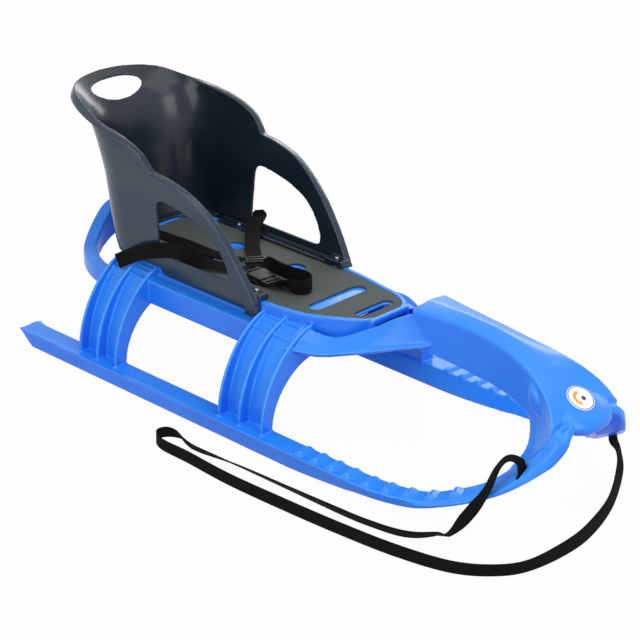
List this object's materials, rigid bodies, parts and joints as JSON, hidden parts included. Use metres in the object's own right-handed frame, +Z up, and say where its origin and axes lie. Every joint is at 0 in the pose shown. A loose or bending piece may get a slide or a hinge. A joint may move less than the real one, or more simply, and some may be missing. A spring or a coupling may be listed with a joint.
{
  "type": "child seat sledge",
  "caption": "Child's moulded snow sledge on two runners, with a screwed-on high-back seat shell, ribbed mat, lap belt and loose tow strap.",
  "frame": {"origin": "on the ground, under the middle of the sledge's own box (its loose tow strap not counted)", "axes": "+X forward to the bonnet's nose, +Y to the sledge's left, +Z up"},
  "size_m": [1.007, 0.4594, 0.3833],
  "materials": {
    "body_plastic": "satin moulding",
    "shell_plastic": "glossy moulding",
    "mat_foam": "matt closed-cell foam",
    "webbing": "woven",
    "fitting_plastic": "fine texture",
    "steel": "plain",
    "badge_print": "printed"
  },
  "bodies": {
    "sledge": {"sled_body": "body_plastic", "back_shell": "shell_plastic", "seat_mat": "mat_foam", "nose_badge": "badge_print", "runner_strip_left": "steel", "runner_strip_right": "steel", "strip_screw_left_1": "steel", "strip_screw_left_2": "steel", "strip_screw_left_3": "steel", "strip_screw_right_1": "steel", "strip_screw_right_2": "steel", "strip_screw_right_3": "steel", "shell_screw_left_front": "steel", "shell_screw_left_rear": "steel", "shell_screw_right_front": "steel", "shell_screw_right_rear": "steel", "belt_webbing_left": "webbing", "belt_webbing_right": "webbing", "belt_loop": "webbing", "buckle_sleeve": "fitting_plastic", "buckle_plug": "fitting_plastic", "tow_strap": "webbing", "strap_stop_left": "fitting_plastic", "strap_stop_right": "fitting_plastic"},
    "slider": {"belt_slider": "fitting_plastic"},
    "release_arm_left": {"buckle_arm_left": "fitting_plastic"},
    "release_arm_right": {"buckle_arm_right": "fitting_plastic"}
  },
  "joints": [
    {"name": "slider_travel", "type": "slide", "parent": "sledge", "child": "slider", "axis": [-0.7892, 0.6141, 0], "range_m": [0, 0.02]},
    {"name": "release_left", "type": "hinge", "parent": "sledge", "child": "release_arm_left", "pos_m": [-0.08693, -0.02541, 0.175], "axis": [0, 0, 1], "range_deg": [0, 9], "stiffness_Nm_per_rad": 0.6},
    {"name": "release_right", "type": "hinge", "parent": "sledge", "child": "release_arm_right", "pos_m": [-0.08864, -0.04172, 0.175], "axis": [0, 0, -1], "range_deg": [0, 9], "stiffness_Nm_per_rad": 0.6}
  ]
}
